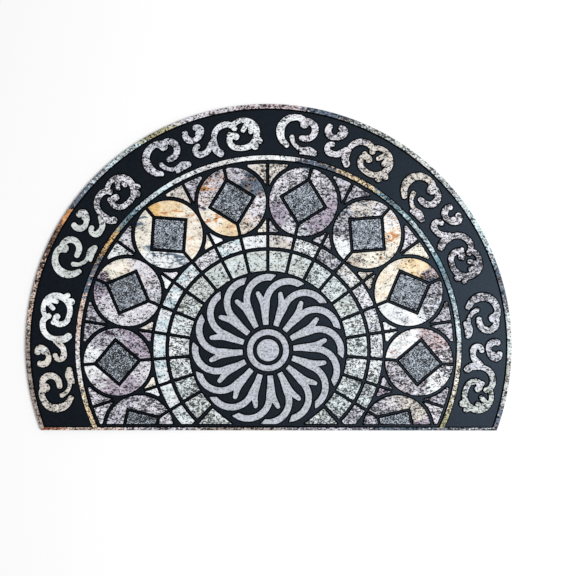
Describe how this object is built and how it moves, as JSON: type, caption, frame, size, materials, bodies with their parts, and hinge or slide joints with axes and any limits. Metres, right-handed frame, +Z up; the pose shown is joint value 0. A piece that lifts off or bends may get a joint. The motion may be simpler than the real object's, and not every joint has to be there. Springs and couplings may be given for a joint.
{
  "type": "half-moon rug",
  "caption": "Half-moon doormat moulded in rubber: a flat mat with a raised stone-mosaic pattern of rosette, blocks, roundels and scrollwork under a rim.",
  "frame": {"origin": "middle of the mat's outline, on its underside", "axes": "+Z up off the floor, +X along the straight edge to the right, +Y from the straight edge to the top of the half-moon"},
  "size_m": [0.8996, 0.6, 0.008],
  "materials": {
    "rubber": "matt black moulded rubber with a fine grain, dark blue-grey where light falls on it",
    "printed_face": "short flocked pile on the raised pattern, printed as speckled and veined stone in greys, whites, creams and tans"
  },
  "bodies": {
    "root": {"mat": "rubber"}
  },
  "joints": []
}
